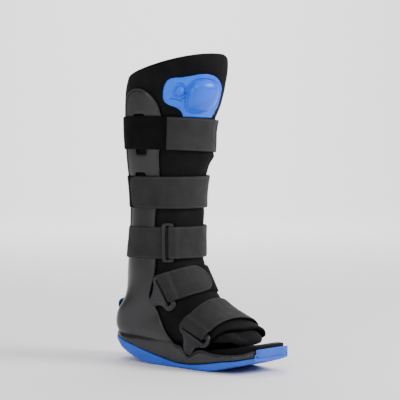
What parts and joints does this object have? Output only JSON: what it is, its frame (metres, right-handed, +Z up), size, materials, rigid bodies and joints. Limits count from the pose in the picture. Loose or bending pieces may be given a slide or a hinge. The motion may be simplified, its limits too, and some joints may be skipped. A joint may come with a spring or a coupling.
{
  "type": "medical walking boot",
  "caption": "Tall walking boot with rocker sole, rigid shell with uprights, padded liner, hook-and-loop straps and an air pump at the calf",
  "frame": {"origin": "middle of the box round the whole boot, at the level of the flat sole", "axes": "+X towards the toes, +Y to the side away from the strap loops, +Z up along the leg"},
  "size_m": [0.2772, 0.1346, 0.4222],
  "materials": {
    "sole_rubber": "satin moulded",
    "liner_foam": "brushed knit over foam",
    "toe_fabric": "woven",
    "shell_plastic": "satin moulded",
    "heel_loop_band": "satin",
    "pump_plastic": "satin moulded",
    "pump_bulb_rubber": "satin",
    "strap_pile": "looped pile",
    "strap_webbing": "woven",
    "loop_plastic": "satin moulded"
  },
  "bodies": {
    "root": {"sole": "sole_rubber", "footbed": "liner_foam", "liner": "liner_foam", "shell": "shell_plastic", "toe_cover": "toe_fabric", "heel_loop": "heel_loop_band", "pump_panel": "pump_plastic", "pump_bulb": "pump_bulb_rubber", "valve_button": "pump_bulb_rubber", "calf_strap": "strap_pile", "calf_strap_end": "strap_webbing", "shin_strap": "strap_pile", "shin_strap_end": "strap_webbing", "ankle_strap": "strap_pile", "ankle_loop": "loop_plastic", "ankle_strap_end": "strap_webbing", "instep_loop": "loop_plastic", "instep_strap": "strap_pile", "instep_strap_end": "strap_webbing", "instep_anchor": "loop_plastic", "forefoot_loop": "loop_plastic", "forefoot_strap": "strap_pile", "forefoot_strap_end": "strap_webbing", "forefoot_anchor": "loop_plastic"}
  },
  "joints": []
}
